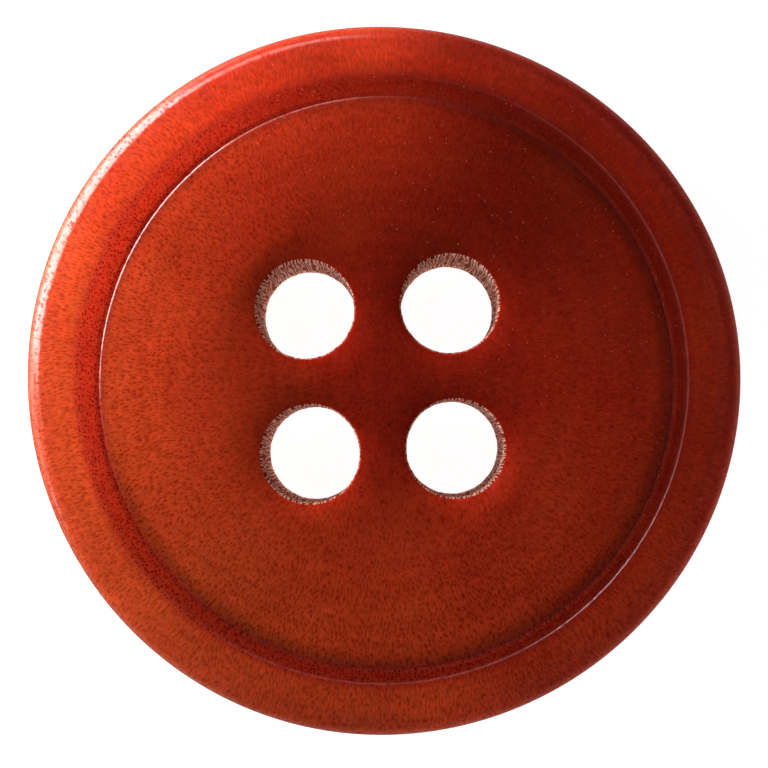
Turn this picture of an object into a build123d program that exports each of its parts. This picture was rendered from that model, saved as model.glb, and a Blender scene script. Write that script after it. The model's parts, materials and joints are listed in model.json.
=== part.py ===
from build123d import *
from math import atan, degrees, hypot, sin
import os

# Four-hole sew-through button, turned from one piece of palm nut and dyed red.
# Millimetres. The origin is the middle of the flat land on the back, +Z leaves the front face,
# and the four thread holes stand on a square along X and Y.

# Overall sizes of the blank
button_diameter = 15.0
button_height = 2.9

# Back: a flat land that rests on the cloth, and a curved flank that rises from it to the side
flank_width = 2.9
flank_rise = 0.8
flank_radius = 7.5
low_edge_round = 0.6

# Rim: a raised, crowned band that falls from its crest to the side and ends in a rounded edge
rim_width = 1.12
rim_fall = 0.1
rim_crown_radius = 8.0
top_edge_round = 0.42
crest_round = 0.25

# Groove: a shallow hollow cove that drops from the crest, and a fine cut at its foot, steeper inside
cove_width = 0.28
cove_depth = 0.05
cove_radius = 2.4
cut_outer_width = 0.12
cut_inner_width = 0.02
cut_depth = 0.02
cut_round = 0.015

# Dish: a level shoulder behind a thin lip, sinking in one smooth curve to a shallow bowl
lip_drop = 0.04
lip_round = 0.03
dish_depth = 0.3
bowl_margin = 0.43

# Thread holes: one drilling, repeated on a square, with the sharp edge of both mouths broken
thread_hole_diameter = 2.06
thread_hole_pitch = 3.05
mouth_chamfer = 0.06
holes_per_side = 2

# Radii of the turned section, from the side inwards
button_radius = button_diameter / 2
land_radius = button_radius - flank_width
crest_radius = button_radius - rim_width
cove_foot_radius = crest_radius - cove_width
cut_radius = cove_foot_radius - cut_outer_width
lip_radius = cut_radius - cut_inner_width

# Levels of the turned section, above the land
rim_edge_level = button_height - rim_fall
cove_foot_level = button_height - cove_depth
cut_level = cove_foot_level - cut_depth
lip_level = button_height - lip_drop
dish_floor_level = lip_level - dish_depth

# Bowl and shoulder are two tangent arcs, level at the axis and level again at the lip.
# The bowl reaches past the thread holes, so that each hole opens in one smooth face.
thread_hole_radius = thread_hole_diameter / 2
thread_circle_radius = hypot(thread_hole_pitch, thread_hole_pitch) / 2
bowl_reach = thread_circle_radius + thread_hole_radius + bowl_margin
bowl_turn = 2 * atan(dish_depth / lip_radius)
bowl_radius = bowl_reach / sin(bowl_turn)

# Corners of the turned section, as radius and level, and the rounding of each
land_corner = (land_radius, 0)
low_corner = (button_radius, flank_rise)
top_corner = (button_radius, rim_edge_level)
crest_corner = (crest_radius, button_height)
cove_foot = (cove_foot_radius, cove_foot_level)
cut_corner = (cut_radius, cut_level)
lip_corner = (lip_radius, lip_level)
corner_rounds = {
    low_corner: low_edge_round,
    top_corner: top_edge_round,
    crest_corner: crest_round,
    cut_corner: cut_round,
    lip_corner: lip_round,
}

os.makedirs("parts", exist_ok=True)

with BuildPart() as button:
    # The section is turned round the axis in one pass, front and back together
    with BuildSketch(Plane.XZ) as section:
        with BuildLine():
            Line((0, 0), land_corner)
            RadiusArc(land_corner, low_corner, -flank_radius)
            Line(low_corner, top_corner)
            RadiusArc(top_corner, crest_corner, -rim_crown_radius)
            RadiusArc(crest_corner, cove_foot, cove_radius)
            Polyline(cove_foot, cut_corner, lip_corner)
            bowl = JernArc((0, dish_floor_level), (1, 0), bowl_radius, degrees(bowl_turn))
            TangentArc(bowl @ 1, lip_corner, tangent=bowl % 1)
            Line((0, dish_floor_level), (0, 0))
        make_face()
        for corner, corner_round in corner_rounds.items():
            fillet(section.vertices().sort_by_distance(corner)[0], corner_round)
    revolve(axis=Axis.Z)

    # The four thread holes go right through, and their mouths are chamfered front and back
    with GridLocations(thread_hole_pitch, thread_hole_pitch, holes_per_side, holes_per_side):
        Hole(thread_hole_radius)
    mouths = button.edges(Select.LAST).filter_by(GeomType.LINE, reverse=True)
    chamfer(mouths, mouth_chamfer)

button.part.label = "button"
export_step(button.part, "parts/button.step")
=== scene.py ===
"""Looks of a four-hole sew-through button of red-dyed palm nut.

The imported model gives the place, the outer size and the thread holes. This file turns a finer mesh
on nearly the same section, dresses it in dyed and bare nut, and lights it on a white floor.
"""

from __future__ import annotations

import json
import logging
import math
from dataclasses import dataclass, field
from enum import Enum
from typing import Any, Mapping, Sequence, Union

import bpy
import numpy as np
from mathutils import Matrix, Vector
from mathutils.geometry import delaunay_2d_cdt

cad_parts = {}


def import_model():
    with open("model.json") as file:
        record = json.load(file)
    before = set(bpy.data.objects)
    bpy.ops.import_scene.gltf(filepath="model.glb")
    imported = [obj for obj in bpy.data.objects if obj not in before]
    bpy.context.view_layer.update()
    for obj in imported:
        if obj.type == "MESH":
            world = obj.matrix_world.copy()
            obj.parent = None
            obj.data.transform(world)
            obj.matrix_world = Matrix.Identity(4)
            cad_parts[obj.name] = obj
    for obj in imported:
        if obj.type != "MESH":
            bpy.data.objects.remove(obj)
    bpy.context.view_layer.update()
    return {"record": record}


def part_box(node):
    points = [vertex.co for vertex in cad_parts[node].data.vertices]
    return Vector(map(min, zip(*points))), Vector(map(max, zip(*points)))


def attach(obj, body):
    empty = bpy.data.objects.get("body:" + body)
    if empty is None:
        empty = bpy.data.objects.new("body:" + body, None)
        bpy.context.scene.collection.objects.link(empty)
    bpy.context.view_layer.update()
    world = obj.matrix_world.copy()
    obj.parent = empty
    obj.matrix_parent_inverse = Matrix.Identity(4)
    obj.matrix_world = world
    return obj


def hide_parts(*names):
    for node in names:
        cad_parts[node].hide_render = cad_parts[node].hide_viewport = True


LOG = logging.getLogger("button")
MM = 0.001
NODE = "button"
BODY = "root"

Colour = tuple[float, float, float]
Point = tuple[float, float]
Socket = bpy.types.NodeSocket
Settings = Mapping[str, Any]


class Space(Enum):
    """Where cells are scattered: in a plane, the place's first two numbers, or through space."""

    FLAT = "2D"
    SOLID = "3D"


class Blend(Enum):
    """How two colours mix."""

    OVER = "MIX"
    TIMES = "MULTIPLY"


class Finish(Enum):
    """The two finishes, by their place among the mesh's materials."""

    DYED = 0
    BARE = 1


class Field:
    """A number that varies over a surface: a node socket that takes part in expressions."""

    def __init__(self, shader: Shader, socket: Socket) -> None:
        """Keep the socket and the shader that its Math nodes go into."""
        self.shader = shader
        self.socket = socket

    def maths(self, operation: str, *terms: Term) -> Field:
        """Add one Math node.

        Args:
            operation: The node's operation.
            terms: Its terms in order, fields or numbers.

        Returns:
            The node's result.
        """
        inputs = dict(enumerate(terms))
        return self.shader.value("ShaderNodeMath", {"operation": operation}, inputs)

    def __add__(self, other: Term) -> Field:
        """This field plus another term."""
        return self.maths("ADD", self, other)

    def __radd__(self, other: Term) -> Field:
        """Another term plus this field."""
        return self.maths("ADD", other, self)

    def __sub__(self, other: Term) -> Field:
        """This field less another term."""
        return self.maths("SUBTRACT", self, other)

    def __rsub__(self, other: Term) -> Field:
        """Another term less this field."""
        return self.maths("SUBTRACT", other, self)

    def __mul__(self, other: Term) -> Field:
        """This field times another term."""
        return self.maths("MULTIPLY", self, other)

    def __rmul__(self, other: Term) -> Field:
        """Another term times this field."""
        return self.maths("MULTIPLY", other, self)

    def __truediv__(self, other: Term) -> Field:
        """This field divided by another term."""
        return self.maths("DIVIDE", self, other)

    def __rtruediv__(self, other: Term) -> Field:
        """Another term divided by this field."""
        return self.maths("DIVIDE", other, self)

    def __pow__(self, other: Term) -> Field:
        """This field to a power."""
        return self.maths("POWER", self, other)

    def __rpow__(self, other: Term) -> Field:
        """A number to the power of this field."""
        return self.maths("POWER", other, self)

    def floor(self) -> Field:
        """The whole number below."""
        return self.maths("FLOOR", self)

    def size(self) -> Field:
        """The number without its sign."""
        return self.maths("ABSOLUTE", self)

    def sine(self) -> Field:
        """The sine of an angle."""
        return self.maths("SINE", self)

    def log(self, base: float) -> Field:
        """The logarithm to a base."""
        return self.maths("LOGARITHM", self, base)

    def bearing(self, across: Field) -> Field:
        """The angle of a direction whose other part is given."""
        return self.maths("ARCTAN2", self, across)

    def most(self, other: Term) -> Field:
        """The higher of two."""
        return self.maths("MAXIMUM", self, other)

    def above(self, level: float) -> Field:
        """One where the field is above a level, and otherwise nothing."""
        return self.maths("GREATER_THAN", self, level)

    def ease(self, start: float, end: float) -> Field:
        """Rise smoothly from 0 to 1.

        Args:
            start: Where the result is 0.
            end: Where the result is 1; it may lie below start.

        Returns:
            The eased field, from 0 to 1.
        """
        low, high = min(start, end), max(start, end)
        inputs = {"Value": self, "From Min": low, "From Max": high}
        settings = {"interpolation_type": "SMOOTHSTEP"}
        eased = self.shader.value("ShaderNodeMapRange", settings, inputs)
        return eased if end > start else 1 - eased


Term = Union[Field, float]
Feed = Union[Field, Socket, float, Sequence[float]]
Inputs = Mapping[Union[str, int], Feed]


def heading(side: float) -> Point:
    """The direction of an angle in degrees."""
    return math.cos(math.radians(side)), math.sin(math.radians(side))


class Shader:
    """A node tree, with one method that adds any node to it."""

    def __init__(self, tree: bpy.types.NodeTree) -> None:
        """Start from an empty tree."""
        self.tree = tree
        self.tree.nodes.clear()

    def node(
        self,
        kind: str,
        settings: Settings | None = None,
        inputs: Inputs | None = None,
    ) -> bpy.types.Node:
        """Add a node.

        Args:
            kind: The node's type.
            settings: Its own properties, which are set first.
            inputs: Values or links for its sockets, by name or number.

        Returns:
            The new node.
        """
        made = self.tree.nodes.new(kind)
        for name, setting in (settings or {}).items():
            setattr(made, name, setting)
        for key, feed in (inputs or {}).items():
            socket = made.inputs[key]
            source = feed.socket if isinstance(feed, Field) else feed
            if isinstance(source, Socket):
                self.tree.links.new(source, socket)
            elif socket.type == "RGBA":
                socket.default_value = (*source, 1.0)
            else:
                socket.default_value = source
        return made

    def value(
        self,
        kind: str,
        settings: Settings | None = None,
        inputs: Inputs | None = None,
        output: str | int = 0,
    ) -> Field:
        """Add a node and take one of its outputs as a number.

        Args:
            kind: The node's type.
            settings: Its own properties.
            inputs: Values or links for its sockets.
            output: Which output to take.

        Returns:
            The output as a field.
        """
        return Field(self, self.node(kind, settings, inputs).outputs[output])

    def place_mm(self) -> Socket:
        """The place on the object, in millimetres of the shared frame."""
        place = self.node("ShaderNodeTexCoord").outputs["Object"]
        scaled = self.node("ShaderNodeVectorMath", {"operation": "SCALE"}, {0: place, "Scale": 1 / MM})
        return scaled.outputs[0]

    def parts(self, vector: Socket) -> tuple[Field, Field, Field]:
        """The three numbers of a vector."""
        made = self.node("ShaderNodeSeparateXYZ", None, {0: vector})
        return Field(self, made.outputs[0]), Field(self, made.outputs[1]), Field(self, made.outputs[2])

    def vector(self, x: Term, y: Term, z: Term) -> Socket:
        """A vector of three numbers."""
        return self.node("ShaderNodeCombineXYZ", None, {0: x, 1: y, 2: z}).outputs[0]

    def distance(self, flat: Socket, point: Point) -> Field:
        """How far a place in a plane lies from a point."""
        inputs = {0: flat, 1: (*point, 0.0)}
        return self.value("ShaderNodeVectorMath", {"operation": "DISTANCE"}, inputs, "Value")

    def out(self, flat: Socket, side: float) -> Field:
        """How far a place in a plane lies out to a side, given as an angle in degrees."""
        inputs = {0: flat, 1: (*heading(side), 0.0)}
        return self.value("ShaderNodeVectorMath", {"operation": "DOT_PRODUCT"}, inputs, "Value")

    def noise(self, place: Socket, per_mm: float, detail: float = 2.0) -> Field:
        """Soft noise from 0 to 1.

        Args:
            place: Where it is read.
            per_mm: Lumps to a unit of the place.
            detail: Octaves of finer noise.

        Returns:
            The noise.
        """
        inputs = {"Vector": place, "Scale": per_mm, "Detail": detail}
        return self.value("ShaderNodeTexNoise", None, inputs)

    def wander(self, place: Socket, per_mm: float, reach: float) -> Socket:
        """Push a place about by smooth noise.

        Args:
            place: The place.
            per_mm: Lumps of the noise to a unit of the place.
            reach: How far the noise swings from side to side.

        Returns:
            The moved place.
        """
        inputs = {"Vector": place, "Scale": per_mm, "Detail": 1.0}
        noise = self.node("ShaderNodeTexNoise", None, inputs).outputs["Color"]
        swing = {0: noise, 1: (reach,) * 3, 2: (-reach / 2,) * 3}
        shift = self.node("ShaderNodeVectorMath", {"operation": "MULTIPLY_ADD"}, swing)
        moved = self.node("ShaderNodeVectorMath", {"operation": "ADD"}, {0: place, 1: shift.outputs[0]})
        return moved.outputs[0]

    def cells(
        self, place: Socket, per_mm: float, space: Space, loose: float = 1.0
    ) -> tuple[Field, Field, Socket]:
        """Scatter cells.

        Args:
            place: Where they are read.
            per_mm: Cells to a unit of the place.
            space: Whether they lie in a plane or in space.
            loose: How far the cells stray from even rows, from 0 to 1.

        Returns:
            The distance from the nearest cell's middle, a number from 0 to 1 that differs from cell to
            cell, and where that middle lies.
        """
        settings = {"feature": "F1", "voronoi_dimensions": space.value}
        inputs = {"Vector": place, "Scale": per_mm, "Randomness": loose}
        made = self.node("ShaderNodeTexVoronoi", settings, inputs)
        chance = self.value("ShaderNodeSeparateColor", None, {0: made.outputs["Color"]})
        return Field(self, made.outputs["Distance"]), chance, made.outputs["Position"]

    def dashes(
        self, place: Socket, reach: Term, breadth: float, loose: float
    ) -> tuple[Field, Field]:
        """Scatter long spots over a plane, one in each unit square.

        Args:
            place: Where they are read; its first number runs along the spots.
            reach: Half the length of a spot.
            breadth: Half its width.
            loose: How far the spots stray from even rows, from 0 to 1.

        Returns:
            The distance from the nearest spot's middle, 1 at its edge, and a number from 0 to 1 that
            differs from spot to spot.
        """
        _, chance, middle = self.cells(place, 1.0, Space.FLAT, loose)
        away = {0: place, 1: middle}
        x, y, _ = self.parts(self.node("ShaderNodeVectorMath", {"operation": "SUBTRACT"}, away).outputs[0])
        x, y = x / reach, y / breadth
        return (x * x + y * y) ** 0.5, chance

    def blend(self, share: Term, first: Feed, second: Feed, how: Blend = Blend.OVER) -> Socket:
        """Mix two colours.

        Args:
            share: How much of the second colour there is.
            first: The first colour.
            second: The second colour.
            how: The way they mix.

        Returns:
            The mixed colour.
        """
        settings = {"data_type": "RGBA", "blend_type": how.value}
        return self.node("ShaderNodeMix", settings, {0: share, 6: first, 7: second}).outputs[2]

    def grey(self, level: Term) -> Socket:
        """A grey of that level, for multiplying a colour."""
        return self.node("ShaderNodeCombineColor", None, {0: level, 1: level, 2: level}).outputs[0]

    def output(self, surface: Socket, kind: str = "ShaderNodeOutputMaterial") -> None:
        """Send a closure to the tree's output."""
        self.node(kind, None, {"Surface": surface})


def new_material(name: str) -> tuple[bpy.types.Material, Shader]:
    """Start a material.

    Args:
        name: Its name.

    Returns:
        The material and the shader of its empty tree.
    """
    made = bpy.data.materials.new(name)
    made.use_nodes = True
    return made, Shader(made.node_tree)


@dataclass(frozen=True)
class Spot:
    """Where a shaded place lies, in millimetres, and how far from the axis and the groove."""

    place: Socket
    flat: Socket
    x: Field
    y: Field
    z: Field
    radius: Field
    groove: Field


@dataclass(frozen=True)
class DyedNut:
    """Polished palm nut under red dye: dark cells that run outwards, pores, turning rings and bright
    specks.

    Lengths are in millimetres. Levels say how much of the dye's brightness a zone keeps. Shade is painted
    into the groove and the middle of the dish, light and shade beside the holes and in broad spots, and a
    highlight along the crest. A zone is the stretch of radius, of distance from the groove or of height
    over which something comes in.
    """

    crest_radius: float
    cut_radius: float
    holes: Sequence[Point]
    hole_radius: float
    middle: Point
    groove_middle: Point
    orange: Colour = (0.62, 0.084, 0.0185)
    crimson: Colour = (0.62, 0.0315, 0.0115)
    fleck_shade: Colour = (0.47, 0.18, 0.19)
    # Colour of the painted highlight along the crest.
    crest_highlight_colour: Colour = (0.8, 0.3, 0.3)
    specks_colour: Colour = (1.0, 0.26, 0.22)
    crest_highlight_side: float = -30.0
    lit_side: float = 135.0
    lit_cove_side: float = 157.0
    halo_side: float = -70.0
    halo_reach: float = 0.75
    halo: float = 0.4
    halo_even: float = 0.25
    # Broad spots of painted light and shade: x, y, reach and the level they paint.
    painted_light_patches: Sequence[tuple[float, float, float, float]] = (
        (2.8, 3.7, 3.2, 0.57),
        (4.8, 1.6, 2.6, 0.88),
        (-0.2, 3.4, 2.3, 0.83),
        (-4.2, 0.2, 3.0, 1.16),
        (-2.6, 5.8, 2.0, 1.12),
        (-3.4, -4.4, 2.2, 0.88),
        (0.3, 8.2, 2.1, 1.6),
        (1.6, -7.9, 2.6, 1.24),
    )
    rim_level: float = 1.0
    cove_level: float = 0.61
    lit_cove_level: float = 0.83
    lip_shade: float = 0.36
    near_lip_shade: float = 0.22
    side_level: float = 0.34
    dish_level: float = 0.86
    heart_level: float = 0.5
    heart_zone: Point = (1.6, 4.9)
    far_lip_zone: Point = (-0.42, -0.06)
    near_lip_zone: Point = (-0.2, -0.1)
    cove_zone: Point = (0.04, 0.14)
    rim_zone: Point = (6.22, 6.6)
    edge_zone: Point = (6.9, 7.1)
    side_zone: Point = (2.72, 2.3)
    back_zone: Point = (0.0, 1.2)
    front_level: float = 2.0
    ring_ratio: float = 1.5
    least_radius: float = 0.3
    seam_angle: float = -40.0
    fleck_spacing: float = 0.066
    rim_spacing: float = 0.135
    cove_spacing: float = 0.06
    dish_spacing: float = 0.108
    heart_spacing: float = 0.1
    fleck_reach: float = 0.38
    fleck_breadth: float = 0.3
    tilt: float = 0.6
    stray: float = 0.9
    zone_shift: float = 17.3
    grain_per_cell: float = 0.9
    dot_spacing: float = 0.24
    specks_per_mm: float = 8.0
    cloud_per_mm: float = 0.5
    mottle_per_mm: float = 4.5
    rings_per_mm: float = 4.0
    ring_drift: float = 0.3
    dot_share: float = 0.6
    crest_highlight_share: float = 0.16
    specks_share: float = 0.6
    edge_inset: float = 0.02
    fleck_dullness: float = 0.85
    roughness: float = 0.23
    ior: float = 1.54
    face_gloss: float = 0.12
    glow: float = 1.0
    glow_reach: Colour = (1.0, 0.35, 0.2)
    glow_scale: float = 0.45

    def spot(self, shader: Shader) -> Spot:
        """Measure the place that is shaded."""
        place = shader.place_mm()
        x, y, z = shader.parts(place)
        flat = shader.vector(x, y, 0.0)
        groove = shader.distance(flat, self.groove_middle) - self.cut_radius
        return Spot(place, flat, x, y, z, shader.distance(flat, self.middle), groove)

    def flecks(self, shader: Shader, spot: Spot) -> tuple[Field, Field, Field]:
        """Scatter long cells whose length runs outwards from the axis.

        The face is divided into rings, each wider than the last by the ring ratio, and in each ring the
        cells have one size, so that they are as fine at the edge as near the middle.

        Args:
            shader: The shader to add to.
            spot: The place.

        Returns:
            How far a place lies in a deep cell, from 0 to 1, how dark the cell is there, and a noise
            that is as long and as wide as the cells.
        """
        radius = shader.distance(spot.flat, (0.0, 0.0)).most(self.least_radius)
        bent_x, bent_y, _ = shader.parts(shader.wander(spot.place, 0.6, 0.6))
        bent = (bent_x * bent_x + bent_y * bent_y) ** 0.5
        seam = math.radians(self.seam_angle) + math.pi
        c, s = math.cos(seam), math.sin(seam)
        turn = (bent_y * c - bent_x * s).bearing(bent_x * c + bent_y * s)
        zone = (radius / self.crest_radius).log(self.ring_ratio).floor()
        ring = self.crest_radius * self.ring_ratio ** (zone + 0.5)
        rim = zone.above(-0.5)
        cove = spot.groove.above(0.0) * (1 - rim)
        length = self.heart_spacing + ring.ease(1.5, 5.2) * (self.dish_spacing - self.heart_spacing)
        length = length + rim * (self.rim_spacing - self.dish_spacing)
        length = length + cove * (self.cove_spacing - self.dish_spacing)
        width = self.fleck_spacing + cove * (self.cove_spacing - self.fleck_spacing)
        along = (bent - spot.z * self.tilt) / length + zone * self.zone_shift
        where = shader.vector(along, turn * ring / width, 0.0)
        distance, chance = shader.dashes(where, self.fleck_reach, self.fleck_breadth, self.stray)
        inside = (distance / (0.7 + 0.6 * chance)).ease(1.25, 0.5)
        strength = 0.45 + 0.2 * rim + 0.6 * cove + 0.3 * radius.ease(2.5, 5.0) * (1 - rim.most(cove))
        plain = (0.6 * spot.x + 0.5 * spot.y).ease(-1.5, 4.0)
        dark = inside * (0.5 + 0.5 * chance) * strength * (1 - 0.5 * plain)
        grain = shader.noise(where, self.grain_per_cell, 1.0)
        return inside * chance.ease(0.3, 0.7), dark, grain

    def towards(self, shader: Shader, spot: Spot, side: float) -> Field:
        """How far a place lies to one side of the button, 1 at the crest there and -1 at the other side."""
        return shader.out(spot.flat, side) / self.crest_radius

    def painted_shade_by_place(self, shader: Shader, spot: Spot) -> Field:
        """Painted shade by place: the dye is painted darker in the middle of the dish and in and beside the
        groove.

        The shade beside the lip is painted wide on the side away from the lamps and narrow on
        theirs, the groove is painted paler on the lamps' side, and the dye is darker on the button's side.

        Args:
            shader: The shader to add to.
            spot: The place.

        Returns:
            The level, where 1 is the dye as it is written.
        """
        radius, groove, z = spot.radius, spot.groove, spot.z
        # Painted light and shade: the groove is paler on the lamps' side, and the shade beside the lip is
        # widest away from them.
        pale = self.towards(shader, spot, self.lit_cove_side).ease(0.4, 0.9)
        cove_level = self.cove_level + (self.lit_cove_level - self.cove_level) * pale
        far = self.towards(shader, spot, self.lit_side).ease(0.85, 0.1)
        level = self.heart_level + (self.dish_level - self.heart_level) * radius.ease(*self.heart_zone)
        shade = self.lip_shade * far * groove.ease(*self.far_lip_zone)
        shade = shade + self.near_lip_shade * (1 - far) * groove.ease(*self.near_lip_zone)
        level = level * (1 - shade * groove.ease(*self.cove_zone[::-1]))
        level = level + (cove_level - self.dish_level) * groove.ease(*self.cove_zone)
        level = level + (self.rim_level - cove_level) * radius.ease(*self.rim_zone)
        level = level + (self.side_level - level) * z.ease(*self.side_zone) * radius.ease(*self.edge_zone)
        return self.dish_level + z.ease(*self.back_zone) * (level - self.dish_level)

    def painted_glow_of_holes(self, shader: Shader, spot: Spot) -> Field:
        """Painted light and shade beside the thread holes, where light through the nut would glow.

        Args:
            shader: The shader to add to.
            spot: The place.

        Returns:
            A factor for the dye's level, above 1 on the far side of each hole and below 1 on its near side.
        """
        way_x, way_y = heading(self.halo_side)
        out = shader.out(spot.flat, self.halo_side)
        factor = 1.0
        for x, y in self.holes:
            away = shader.distance(spot.flat, (x, y))
            side = (out - (x * way_x + y * way_y)) / away
            near = (away - self.hole_radius).ease(self.halo_reach, 0.0)
            factor = factor + self.halo * (self.halo_even + (1 - self.halo_even) * side) * near
        return factor

    def worn_edges(self, spot: Spot) -> Field:
        """Where wear has polished the nut: on the outer edge, the crest and the lip of the groove.

        Args:
            spot: The place.

        Returns:
            1 on a worn edge and 0 away from it.
        """
        outer = spot.radius.ease(6.85, 7.05) * spot.z.ease(2.0, 2.4)
        crest = (spot.radius - self.crest_radius + self.edge_inset).size().ease(0.1, 0.05)
        lip = (spot.groove + self.edge_inset).size().ease(0.1, 0.06)
        return outer.most(crest.most(lip) * spot.z.above(self.front_level))

    def material(self) -> bpy.types.Material:
        """Make the finish.

        Returns:
            The material.
        """
        made, shader = new_material("dyed_nut")
        spot = self.spot(shader)
        place, x, y, z, radius = spot.place, spot.x, spot.y, spot.z, spot.radius
        inside, flecks, grain = self.flecks(shader, spot)
        heart, chance, _ = shader.cells(place, 1 / self.dot_spacing, Space.FLAT)
        dots = heart.ease(0.2, 0.08) * chance.ease(0.35, 0.75) * (0.3 - 0.3 * y).ease(-1.0, 1.0)
        # Bright specks, most towards the upper right.
        speck, luck, _ = shader.cells(place, self.specks_per_mm, Space.SOLID)
        bright_specks = speck.ease(0.14, 0.07) * luck.ease(0.2, 0.9) * (0.15 + 0.85 * (x + y).ease(-1.0, 5.0))
        cloud = shader.noise(place, self.cloud_per_mm)
        mottle = shader.noise(place, self.mottle_per_mm)
        turned = shader.vector(radius * self.rings_per_mm, x * self.ring_drift, y * self.ring_drift)
        rings = shader.noise(turned, 1.0, 1.0)
        level = 0.13 + 0.4 * cloud + 0.4 * mottle + 0.3 * rings + 0.64 * grain
        # Painted shade by place, and painted light and shade beside the thread holes.
        level = level * self.painted_shade_by_place(shader, spot) * self.painted_glow_of_holes(shader, spot)
        # Painted light and shade: broad spots where the dye is painted brighter or darker.
        for patch_x, patch_y, reach, share in self.painted_light_patches:
            away = shader.distance(spot.flat, (patch_x, patch_y))
            level = level * (1 + (share - 1) * away.ease(reach, reach * 0.2))
        warm = 0.6 * cloud - 0.3 + 0.58 * radius.ease(0.0, 7.0)
        warm = warm - 0.047 * x - 0.02 * y - 0.2 * y.ease(0.0, 6.0)
        warm = warm * (1 - 0.9 * spot.groove.ease(-0.15, 0.05) * radius.ease(6.6, 6.25))
        dye = shader.blend(warm, self.crimson, self.orange)
        colour = shader.blend(1.0, dye, shader.grey(level), Blend.TIMES)
        dark = flecks.most(dots * self.dot_share)
        shade = shader.blend(1.0, colour, self.fleck_shade, Blend.TIMES)
        colour = shader.blend(dark, colour, shade)
        # A painted highlight: a thin pale line just inside the crest, broken by the mottle and strongest on
        # one side.
        crest_highlight = (radius - self.crest_radius + self.edge_inset).size().ease(0.035, 0.005)
        crest_highlight = crest_highlight * z.above(self.front_level) * (0.3 + 1.1 * mottle)
        crest_highlight = crest_highlight * self.towards(shader, spot, self.crest_highlight_side).ease(-0.3, 0.6)
        colour = shader.blend(crest_highlight * self.crest_highlight_share, colour, self.crest_highlight_colour)
        colour = shader.blend(bright_specks * self.specks_share, colour, self.specks_colour)
        gloss = self.face_gloss + (1 - self.face_gloss) * self.worn_edges(spot)
        gloss = (1 - self.fleck_dullness * inside) * gloss
        body = shader.node(
            "ShaderNodeBsdfPrincipled",
            {"subsurface_method": "RANDOM_WALK"},
            {
                "Base Color": colour,
                "Roughness": 0.5,
                "Specular IOR Level": 0.0,
                "Subsurface Weight": self.glow,
                "Subsurface Radius": self.glow_reach,
                "Subsurface Scale": self.glow_scale * MM,
                "Coat Weight": gloss,
                "Coat Roughness": self.roughness,
                "Coat IOR": self.ior,
            },
        )
        shader.output(body.outputs[0])
        return made


@dataclass(frozen=True)
class BareNut:
    """Undyed nut in the drilled holes: pale fibres that wind along the hole. Lengths are in millimetres."""

    hole_radius: float
    hole_offset: float
    pale: Colour = (1.0, 0.53, 0.41)
    dark: Colour = (0.36, 0.09, 0.055)
    dyed: Colour = (0.2, 0.012, 0.005)
    lit_wall_side: float = 150.0
    fibre_pitch: float = 0.08
    squeeze: float = 0.11
    winding: float = 3.4
    winding_per_mm: float = 7.5
    hole_shifts: Point = (9.1, 4.7)
    teeth_zone: Point = (2.4, 2.52)
    roughness: float = 0.5
    glow: float = 0.8
    glow_reach: Colour = (1.0, 0.5, 0.35)
    glow_scale: float = 0.5

    def material(self) -> bpy.types.Material:
        """Make the finish.

        Returns:
            The material.
        """
        made, shader = new_material("bare_nut")
        x, y, z = shader.parts(shader.place_mm())
        right, upper = x.above(0.0), y.above(0.0)
        across = x - (2 * right - 1) * self.hole_offset
        along = y - (2 * upper - 1) * self.hole_offset
        around = along.bearing(across) * self.hole_radius
        around = around + right * self.hole_shifts[0] + upper * self.hole_shifts[1]
        spot = shader.vector(around, z * self.squeeze, 0.0)
        bend = (shader.noise(spot, self.winding_per_mm, 1.0) - 0.5) * self.winding
        lines = ((around / self.fibre_pitch + bend) * math.tau).sine().ease(-0.7, 0.7)
        colour = shader.blend(lines, self.dark, self.pale)
        # Painted light: the wall is painted paler towards one side, as if lit by light through the nut.
        way_x, way_y = heading(self.lit_wall_side)
        side = (across * way_x + along * way_y) / self.hole_radius
        colour = shader.blend(1.0, colour, shader.grey(0.82 + 0.18 * side), Blend.TIMES)
        colour = shader.blend(z.ease(*self.teeth_zone) * (1 - lines), colour, self.dyed)
        body = shader.node(
            "ShaderNodeBsdfPrincipled",
            {"subsurface_method": "RANDOM_WALK"},
            {
                "Base Color": colour,
                "Roughness": self.roughness,
                "Specular IOR Level": 0.0,
                "Subsurface Weight": self.glow,
                "Subsurface Radius": self.glow_reach,
                "Subsurface Scale": self.glow_scale * MM,
            },
        )
        shader.output(body.outputs[0])
        return made


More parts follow.
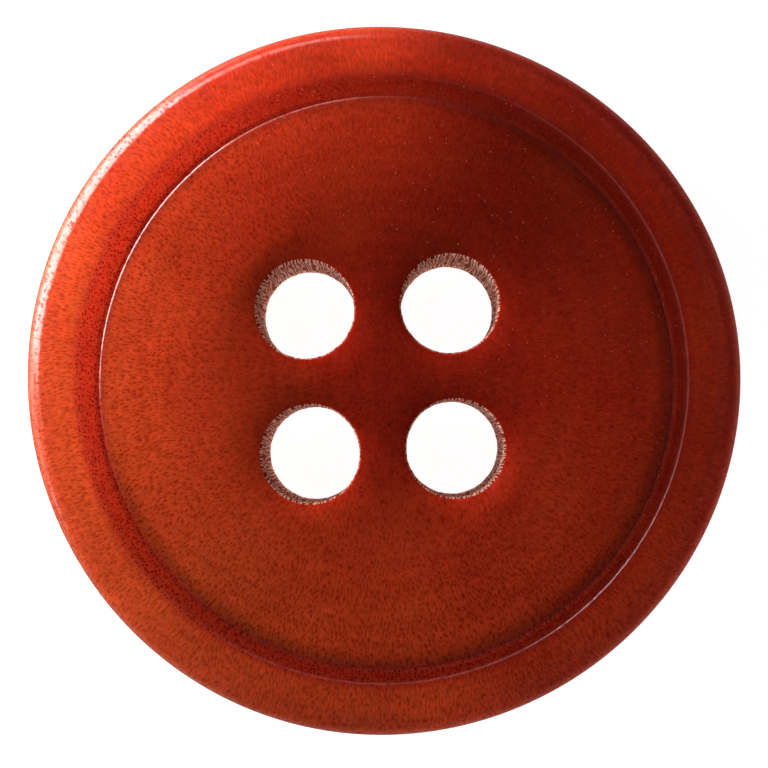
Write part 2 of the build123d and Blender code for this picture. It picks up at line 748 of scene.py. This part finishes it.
@dataclass(frozen=True)
class WhiteFloor:
    """White lit floor that shows as a blank background and still takes a faint shadow.

    Reflections see it dimmer, with a painted pool of light where the window would light it. Millimetres and
    degrees.
    """

    window: float = 148.0
    colour: Colour = (0.3, 0.3, 0.3)
    seen: float = 0.97
    bounce: float = 0.8
    mirrored: float = 0.12
    lit: float = 3.5
    lit_distance: float = 40.0
    lit_radius: float = 26.0
    lit_border: float = 3.0

    def material(self) -> bpy.types.Material:
        """Make the finish.

        Returns:
            The material.
        """
        made, shader = new_material("white_floor")
        path = shader.node("ShaderNodeLightPath")
        names = ("Is Glossy Ray", "Is Camera Ray", "Is Transmission Ray")
        glossy, direct, through = (Field(shader, path.outputs[name]) for name in names)
        seen = direct.most(through)
        x, y, _ = shader.parts(shader.place_mm())
        way_x, way_y = heading(self.window)
        across, along = x - self.lit_distance * way_x, y - self.lit_distance * way_y
        away = (across * across + along * along) ** 0.5
        # Painted light: a bright disc in the floor's glow, seen only in reflections, where the window would
        # light the floor.
        lit = away.ease(self.lit_radius + self.lit_border / 2, self.lit_radius - self.lit_border / 2)
        strength = seen * self.seen + glossy * (self.mirrored + self.lit * lit)
        strength = strength + (1 - seen.most(glossy)) * self.bounce
        body = shader.node(
            "ShaderNodeBsdfPrincipled",
            None,
            {"Base Color": self.colour, "Roughness": 0.9, "Specular IOR Level": 0.0},
        )
        light = shader.node("ShaderNodeEmission", None, {"Strength": strength})
        both = shader.node("ShaderNodeAddShader", None, {0: body.outputs[0], 1: light.outputs[0]})
        shader.output(both.outputs[0])
        return made


def linked(name: str, data: bpy.types.ID) -> bpy.types.Object:
    """Make an object of that data and put it in the scene."""
    made = bpy.data.objects.new(name, data)
    bpy.context.scene.collection.objects.link(made)
    return made


def arc(start: Point, end: Point, radius: float, steps: int) -> list[Point]:
    """Points along an arc whose centre lies to the left of the way from start to end.

    Args:
        start: First point.
        end: Last point.
        radius: The arc's radius.
        steps: How many stretches it is divided into.

    Returns:
        The points, both ends included.
    """
    a, b = np.array(start), np.array(end)
    chord = b - a
    half = np.linalg.norm(chord) / 2
    left = np.array((-chord[1], chord[0])) / (2 * half)
    centre = (a + b) / 2 + left * math.sqrt(radius**2 - half**2)
    first = math.atan2(*(a - centre)[::-1])
    sweep = 2 * math.asin(half / radius)
    angles = first + sweep * np.linspace(0, 1, steps + 1)
    return [(centre[0] + radius * math.cos(t), centre[1] + radius * math.sin(t)) for t in angles]


def line(start: Point, end: Point, steps: int) -> list[Point]:
    """Points along a straight stretch, both ends included."""
    return [tuple(p) for p in np.linspace(start, end, steps + 1)]


def rounded(first: list[Point], second: list[Point], radius: float, steps: int) -> list[Point]:
    """Join two stretches that meet in a corner by an arc.

    Args:
        first: The stretch that ends in the corner.
        second: The stretch that starts there.
        radius: The arc's radius.
        steps: How many stretches the arc is divided into.

    Returns:
        Both stretches as one, with the corner rounded.
    """
    corner = np.array(first[-1])
    back = np.array(first[-2]) - corner
    ahead = np.array(second[1]) - corner
    back, ahead = back / np.linalg.norm(back), ahead / np.linalg.norm(ahead)
    half = math.acos(float(np.clip(back @ ahead, -1, 1))) / 2
    trim = radius / math.tan(half)
    middle = (back + ahead) / np.linalg.norm(back + ahead)
    centre = corner + middle * radius / math.sin(half)
    a, b = corner + back * trim - centre, corner + ahead * trim - centre
    turn = math.atan2(a[0] * b[1] - a[1] * b[0], float(a @ b))
    bend = []
    for t in np.linspace(0, turn, steps + 1):
        c, s = math.cos(t), math.sin(t)
        bend.append((centre[0] + a[0] * c - a[1] * s, centre[1] + a[0] * s + a[1] * c))
    kept = [p for p in first if math.dist(p, corner) > trim * 1.05]
    rest = [p for p in second if math.dist(p, corner) > trim * 1.05]
    return kept + bend + rest


@dataclass
class TurnedSection:
    """Half of the button's section, from the thread holes over the rim to the land on the back.

    Lengths are in millimetres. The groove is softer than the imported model's by a few hundredths.
    """

    radius: float
    height: float = 2.9
    flank_width: float = 2.9
    flank_rise: float = 0.8
    flank_radius: float = 7.5
    low_edge_round: float = 0.6
    rim_width: float = 1.12
    rim_fall: float = 0.1
    rim_crown_radius: float = 8.0
    top_edge_round: float = 0.42
    crest_round: float = 0.06
    step_width: float = 0.035
    step_rise: float = 0.0075
    cove_width: float = 0.265
    cove_fall: float = 0.006
    cut_outer_width: float = 0.095
    cut_inner_width: float = 0.03
    cut_depth: float = 0.027
    cut_round: float = 0.015
    lip_drop: float = -0.004
    lip_round: float = 0.02
    lip_sag: float = 0.018
    lip_width: float = 0.4
    dish_depth: float = 0.3
    bowl_reach: float = 3.617

    def __post_init__(self) -> None:
        """Work out the corners and the dish's two arcs."""
        self.land_radius = self.radius - self.flank_width
        self.lip_level = self.height - self.lip_drop
        self.low = (self.radius, self.flank_rise)
        self.top = (self.radius, self.height - self.rim_fall)
        self.crest = (self.radius - self.rim_width, self.height)
        self.step_foot = (self.crest[0] - self.step_width, self.height - self.step_rise)
        self.cove_foot = (self.step_foot[0] - self.cove_width, self.step_foot[1] + self.cove_fall)
        self.cut = (self.cove_foot[0] - self.cut_outer_width, self.cove_foot[1] - self.cut_depth)
        self.lip = (self.cut[0] - self.cut_inner_width, self.lip_level - self.lip_sag)
        turn = 2 * math.atan(self.dish_depth / self.lip[0])
        self.bowl_radius = self.bowl_reach / math.sin(turn)
        self.shoulder_radius = (self.lip[0] - self.bowl_reach) / math.sin(turn)

    def bowl_level(self, radius: Any) -> Any:
        """The level of the bowl at a distance from the axis, or at an array of them."""
        floor = self.lip_level - self.dish_depth
        return floor + self.bowl_radius - (self.bowl_radius**2 - radius**2) ** 0.5

    def outline(self) -> list[Point]:
        """Follow the section from the bowl's edge, over the rim, to the edge of the land.

        Returns:
            Points as distance from the axis and level.
        """
        reaches = np.linspace(self.bowl_reach, self.lip[0], 61)
        falls = self.shoulder_radius - np.sqrt(self.shoulder_radius**2 - (self.lip[0] - reaches) ** 2)
        falls += self.lip_sag * np.clip((reaches - self.lip[0]) / self.lip_width + 1, 0, 1) ** 2
        path = [(float(r), float(self.lip_level - f)) for r, f in zip(reaches, falls)]
        path = rounded(path, line(self.lip, self.cut, 12), self.lip_round, 8)
        path = rounded(path, line(self.cut, self.cove_foot, 12), self.cut_round, 6)
        path = rounded(path, line(self.cove_foot, self.step_foot, 12), self.cut_round, 4)
        path = rounded(path, line(self.step_foot, self.crest, 10), self.cut_round, 4)
        rim = arc(self.top, self.crest, self.rim_crown_radius, 30)[::-1]
        path = rounded(path, rim, self.crest_round, 8)
        path = rounded(path, line(self.top, self.low, 16), self.top_edge_round, 20)
        flank = arc((self.land_radius, 0.0), self.low, self.flank_radius, 24)[::-1]
        return rounded(path, flank, self.low_edge_round, 12)


@dataclass
class ThreadHole:
    """One drilled hole with rounded mouths. Lengths are in millimetres."""

    x: float
    y: float
    radius: float
    mouth: float = 0.04
    dimple_depth: float = 0.09
    dimple_width: float = 0.5
    sides: int = 144
    mouth_steps: int = 6
    wall_steps: int = 14
    roughness: float = 0.0025
    tears: Sequence[Point] = ((31, 1.0), (47, 2.3), (13, -1.0))

    def ring(self, radius: float, rough: float = 0.0) -> np.ndarray:
        """Points around the hole.

        Args:
            radius: Their distance from its axis.
            rough: How much of the drill's roughness shows there, from 0 to 1.

        Returns:
            The points, as x and y.
        """
        t = np.linspace(0, 2 * math.pi, self.sides, endpoint=False)
        start = self.x * 1.7 + self.y * 2.9
        torn = sum(np.sin(count * t + phase * start) for count, phase in self.tears)
        reach = radius + self.roughness * rough * torn
        return np.stack((self.x + reach * np.cos(t), self.y + reach * np.sin(t)), 1)

    def lip(self, turn: float) -> tuple[np.ndarray, float]:
        """The ring at a turn round the mouth's rounding, and how far it lies below the face."""
        spots = self.ring(self.radius + self.mouth * (1 - math.sin(turn)), math.sin(turn))
        return spots, self.mouth * (1 - math.cos(turn))

    def dimple(self, points: np.ndarray) -> np.ndarray:
        """How far polishing has sunk the face round the mouth, at each of the points."""
        away = np.hypot(points[:, 0] - self.x, points[:, 1] - self.y) - self.radius
        return self.dimple_depth * np.exp(-np.maximum(away, 0) / self.dimple_width)

    def holds(self, points: np.ndarray, margin: float) -> np.ndarray:
        """Which points lie in the hole's mouth or within a margin of it."""
        return np.hypot(points[:, 0] - self.x, points[:, 1] - self.y) < self.radius + self.mouth + margin


class Skin:
    """A mesh that is put together from rings and patches."""

    def __init__(self) -> None:
        """Start with no points and no faces."""
        self.points: list[tuple[float, float, float]] = []
        self.faces: list[tuple[int, ...]] = []
        self.finishes: list[int] = []

    def add(self, points: np.ndarray) -> list[int]:
        """Add points and give their numbers."""
        start = len(self.points)
        self.points.extend(tuple(float(v) for v in p) for p in points)
        return list(range(start, start + len(points)))

    def bridge(self, first: Sequence[int], second: Sequence[int], finish: Finish) -> None:
        """Close the band between two rings of as many points.

        Args:
            first: The numbers of one ring.
            second: The numbers of the other, which the band's outside has to its right.
            finish: The band's finish.
        """
        for i, (a, b) in enumerate(zip(first, second)):
            j = (i + 1) % len(first)
            self.faces.append((a, b, second[j], first[j]))
            self.finishes.append(finish.value)

    def patch(
        self,
        rings: Sequence[Sequence[int]],
        inner: Sequence[int],
        holes: Sequence[ThreadHole],
        up: bool,
    ) -> None:
        """Fill a disc around the thread holes with triangles.

        Args:
            rings: The outer ring, and then one around each hole.
            inner: The points between them.
            holes: The holes, which stay open.
            up: Whether the patch faces up.
        """
        used = [n for ring in rings for n in ring] + list(inner)
        flat = [Vector(self.points[n][:2]) for n in used]
        edges, start = [], 0
        for ring in rings:
            count = len(ring)
            edges += [(start + i, start + (i + 1) % count) for i in range(count)]
            start += count
        made = delaunay_2d_cdt(flat, edges, [], 0, 1e-7)
        origin = [sources[0] for sources in made[3]]
        for face in made[2]:
            corners = [used[origin[v]] for v in face]
            spots = np.array([self.points[n][:2] for n in corners])
            middle = spots.mean(0, keepdims=True)
            if any(hole.holds(middle, 0.0)[0] for hole in holes):
                continue
            (ax, ay), (bx, by), (cx, cy) = spots
            rises = (bx - ax) * (cy - ay) - (by - ay) * (cx - ax) > 0
            self.faces.append(tuple(corners if rises == up else corners[::-1]))
            self.finishes.append(Finish.DYED.value)

    def mesh(self, name: str) -> bpy.types.Mesh:
        """Make a smooth mesh in metres.

        Args:
            name: The mesh's name.

        Returns:
            The mesh.
        """
        made = bpy.data.meshes.new(name)
        made.from_pydata([tuple(v * MM for v in p) for p in self.points], [], self.faces)
        made.polygons.foreach_set("material_index", self.finishes)
        made.polygons.foreach_set("use_smooth", [True] * len(self.faces))
        made.update()
        return made


@dataclass
class Button:
    """The turned button: dyed outside, bare nut in its thread holes.

    The rim and the dish were turned a hair off the middle of the holes, and the rim isn't quite round.
    Lengths are in millimetres, angles in degrees.
    """

    section: TurnedSection
    holes: Sequence[ThreadHole]
    sides: int = 360
    spacing: float = 0.14
    clearance: float = 0.9
    dimple_fade: float = 0.4
    rim_shift: Point = (0.05, 0.025)
    dish_shift: Point = (0.113, -0.059)
    dish_tilt: Point = (0.0065, 150.0)
    oval: Point = (0.026, -16.0)
    lobes: Point = (0.025, 10.4)

    def ring(self, radius: float, level: float) -> np.ndarray:
        """Points around the button, with the turning's small errors.

        Args:
            radius: Their distance from the ring's own middle.
            level: Their level.

        Returns:
            The points.
        """
        section = self.section
        t = np.linspace(0, 2 * math.pi, self.sides, endpoint=False)
        edges = (section.bowl_reach, section.lip[0], section.cove_foot[0], section.crest[0])
        dish = np.interp(radius, edges, (0, 1, 1, 0))
        step = np.interp(radius, (*edges[:2], section.step_foot[0], edges[3]), (0, 1, 1, 0))
        rim = np.interp(radius, (section.cove_foot[0], section.crest[0]), (0, 1))
        if level < section.flank_rise:
            rim = np.interp(radius, (section.land_radius, section.radius), (0, 1))
            dish = step = 0.0
        shift = dish * np.array(self.dish_shift) + rim * np.array(self.rim_shift)
        wave = rim * np.interp(radius, (section.crest[0], section.radius), (0.3, 1))
        reach = radius
        for count, (swing, crest) in ((2, self.oval), (3, self.lobes)):
            reach = reach + wave * swing * np.cos(count * (t - math.radians(crest)))
        rise, high = self.dish_tilt
        levels = level + step * rise * np.cos(t - math.radians(high))
        return np.stack((shift[0] + reach * np.cos(t), shift[1] + reach * np.sin(t), levels), 1)

    def between(self, reach: float) -> np.ndarray:
        """Points spread over a disc, clear of the holes.

        Args:
            reach: The disc's radius.

        Returns:
            The points, as x and y.
        """
        found = [np.zeros((1, 2))]
        for i in range(1, int((reach - self.spacing / 2) / self.spacing) + 1):
            radius = i * self.spacing
            count = int(2 * math.pi * radius / self.spacing)
            t = np.linspace(0, 2 * math.pi, count, endpoint=False) + i
            found.append(np.stack((radius * np.cos(t), radius * np.sin(t)), 1))
        points = np.concatenate(found)
        for hole in self.holes:
            points = points[~hole.holds(points, self.spacing * self.clearance)]
        return points

    def face_level(self, spots: np.ndarray) -> np.ndarray:
        """The level of the bowl at each of the points, with the dimples round the thread holes."""
        away = np.hypot(spots[:, 0], spots[:, 1])
        fade = np.clip((self.section.bowl_reach - away) / self.dimple_fade, 0, 1)
        return self.section.bowl_level(away) - fade * sum(hole.dimple(spots) for hole in self.holes)

    def build(self) -> Skin:
        """Put the skin together.

        Returns:
            The skin, in millimetres.
        """
        skin = Skin()
        bands = [skin.add(self.ring(r, z)) for r, z in self.section.outline()]
        for inner, outer in zip(bands, bands[1:]):
            skin.bridge(inner, outer, Finish.DYED)
        fronts, backs = [], []
        for hole in self.holes:
            front, back = self.drill(skin, hole)
            fronts.append(front)
            backs.append(back)
        spots = self.between(self.section.bowl_reach)
        inner = skin.add(np.column_stack((spots, self.face_level(spots))))
        skin.patch([bands[0], *fronts], inner, self.holes, True)
        spots = self.between(self.section.land_radius)
        inner = skin.add(np.column_stack((spots, np.zeros(len(spots)))))
        skin.patch([bands[-1], *backs], inner, self.holes, False)
        return skin

    def drill(self, skin: Skin, hole: ThreadHole) -> tuple[list[int], list[int]]:
        """Line one thread hole: front mouth, wall, back mouth.

        Args:
            skin: The skin to add to.
            hole: The hole.

        Returns:
            The rings where the mouths meet the front and the back.
        """
        rims = []
        turns = np.linspace(0, math.pi / 2, hole.mouth_steps + 1)
        for t in turns:
            spots, drop = hole.lip(t)
            rims.append(np.column_stack((spots, self.face_level(spots) - drop)))
        top = rims[-1]
        for share in np.linspace(0, 1, hole.wall_steps + 1)[1:]:
            levels = top[:, 2] + (hole.mouth - top[:, 2]) * share
            rims.append(np.column_stack((hole.ring(hole.radius, 1.0), levels)))
        for t in turns[::-1][1:]:
            spots, drop = hole.lip(t)
            rims.append(np.column_stack((spots, np.full(hole.sides, drop))))
        rings = [skin.add(rim) for rim in rims]
        for i, (upper, lower) in enumerate(zip(rings, rings[1:])):
            wall = hole.mouth_steps // 4 <= i < hole.mouth_steps + hole.wall_steps
            skin.bridge(lower, upper, Finish.BARE if wall else Finish.DYED)
        return rings[0], rings[-1]

    def place(self) -> bpy.types.Object:
        """Build the piece, dress it and hang it on the frame.

        Returns:
            The piece.
        """
        piece = linked("turned_button", self.build().mesh("turned_button"))
        spots = [(hole.x, hole.y) for hole in self.holes]
        bore = self.holes[0].radius
        crest, cut = self.section.crest[0], self.section.cut[0]
        dyed = DyedNut(crest, cut, spots, bore, self.rim_shift, self.dish_shift)
        piece.data.materials.append(dyed.material())
        piece.data.materials.append(BareNut(bore, abs(self.holes[0].x)).material())
        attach(piece, BODY)
        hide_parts(NODE)
        return piece


@dataclass(frozen=True)
class Lamp:
    """A soft lamp that looks at the button. Lengths are in millimetres, angles in degrees."""

    name: str
    azimuth: float
    elevation: float
    distance: float
    width: float
    height: float
    radiance: float
    diffuse: bool = True
    glossy: bool = False

    def place(self, aim: Vector) -> None:
        """Set up the lamp.

        Args:
            aim: The point it looks at, in metres.
        """
        light = bpy.data.lights.new(self.name, "AREA")
        light.shape = "RECTANGLE"
        light.size = self.width * MM
        light.size_y = self.height * MM
        light.energy = self.radiance * math.pi * light.size * light.size_y
        lamp = linked(self.name, light)
        a, e = math.radians(self.azimuth), math.radians(self.elevation)
        way = Vector((math.cos(a) * math.cos(e), math.sin(a) * math.cos(e), math.sin(e)))
        lamp.location = aim + way * self.distance * MM
        lamp.rotation_mode = "QUATERNION"
        lamp.rotation_quaternion = way.to_track_quat("Z", "Y")
        lamp.visible_camera = False
        lamp.visible_diffuse = self.diffuse
        lamp.visible_glossy = self.glossy


@dataclass(frozen=True)
class Camera:
    """The photograph's viewpoint, solved from the outline and the thread holes. Millimetres and degrees."""

    eye: tuple[float, float, float] = (0.265, -1.189, 37.19)
    aim: tuple[float, float, float] = (0.0758, -0.1101, 2.6)
    roll: float = -2.217
    lens: float = 77.16
    sensor: float = 36.0

    def place(self) -> bpy.types.Object:
        """Set up the camera.

        Returns:
            The camera.
        """
        data = bpy.data.cameras.new("photo_camera")
        data.lens = self.lens
        data.sensor_width = self.sensor
        data.clip_start = 1 * MM
        data.clip_end = 2.0
        camera = linked("photo_camera", data)
        eye = Vector(self.eye)
        look = (Vector(self.aim) - eye).normalized()
        lean = math.radians(self.roll)
        right = look.cross(Vector((-math.sin(lean), math.cos(lean), 0.0))).normalized()
        up = right.cross(look)
        turned = Matrix((right, up, -look)).transposed().to_4x4()
        camera.matrix_world = Matrix.Translation(eye * MM) @ turned
        bpy.context.scene.camera = camera
        return camera


@dataclass
class Studio:
    """White floor, dim surroundings and soft lamps. Lengths are in millimetres."""

    floor_side: float = 600.0
    floor_drop: float = 0.02
    surroundings: float = 0.02
    sheen: float = 0.06
    lamps: Sequence[Lamp] = field(
        default_factory=lambda: (
            Lamp("key", 142.0, 16.0, 14.0, 15.0, 6.0, 8.8),
            Lamp("low", 200.0, 32.0, 16.0, 8.0, 8.0, 4.4),
            Lamp("fill", 270.0, 50.0, 22.0, 12.0, 12.0, 1.25),
            Lamp("right", 335.0, 10.0, 16.0, 8.0, 6.0, 0.8),
            Lamp("far", 55.0, 10.0, 16.0, 8.0, 6.0, 0.6),
            Lamp("window", 148.0, 19.0, 40.0, 36.0, 32.0, 15.0, diffuse=False, glossy=True),
            Lamp("window_high", 112.0, 30.0, 40.0, 24.0, 10.0, 5.0, diffuse=False, glossy=True),
            Lamp("window_low", 184.0, 6.0, 40.0, 24.0, 12.0, 2.5, diffuse=False, glossy=True),
        )
    )

    def floor(self) -> None:
        """Lay the floor."""
        half, level = self.floor_side / 2 * MM, -self.floor_drop * MM
        corners = [(-half, -half, level), (half, -half, level), (half, half, level), (-half, half, level)]
        mesh = bpy.data.meshes.new("floor")
        mesh.from_pydata(corners, [], [(0, 1, 2, 3)])
        made = linked("floor", mesh)
        made.data.materials.append(WhiteFloor().material())

    def world(self) -> None:
        """Surround the stage with a white that is seen, but lights the object and is mirrored dimly."""
        world = bpy.data.worlds.new("surroundings")
        bpy.context.scene.world = world
        world.use_nodes = True
        shader = Shader(world.node_tree)
        path = shader.node("ShaderNodeLightPath")
        seen, glossy = (Field(shader, path.outputs[name]) for name in ("Is Camera Ray", "Is Glossy Ray"))
        strength = seen.most(glossy * self.sheen).most(self.surroundings)
        back = shader.node("ShaderNodeBackground", None, {"Strength": strength})
        shader.output(back.outputs[0], "ShaderNodeOutputWorld")

    def place(self, aim: Vector) -> None:
        """Set up the floor, the surroundings and the lamps, which look at the given point."""
        self.floor()
        self.world()
        for lamp in self.lamps:
            lamp.place(aim)


def holes_of(record: Mapping[str, Any]) -> list[ThreadHole]:
    """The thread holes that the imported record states.

    Args:
        record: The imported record.

    Returns:
        One hole for each bore.
    """
    bores = [mount for mount in record["mounts"] if mount["kind"] == "bore"]
    return [ThreadHole(m["pos_m"][0] / MM, m["pos_m"][1] / MM, m["dims"]["r_mm"]) for m in bores]


def main() -> None:
    """Build the button around its frame, light it and set up the camera."""
    logging.basicConfig(level=logging.INFO, format="%(name)s: %(message)s")
    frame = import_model()
    low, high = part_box(NODE)
    section = TurnedSection(radius=(high.y - low.y) / 2 / MM)
    button = Button(section, holes_of(frame["record"]))
    piece = button.place()
    LOG.info("%s: %d points, %d faces", piece.name, len(piece.data.vertices), len(piece.data.polygons))
    Studio().place(Vector((0.0, 0.0, high.z)))
    camera = Camera().place()
    LOG.info("%s: lens %.1f mm", camera.name, camera.data.lens)
    bpy.context.scene.view_settings.view_transform = "Standard"


if __name__ == "__main__":
    main()
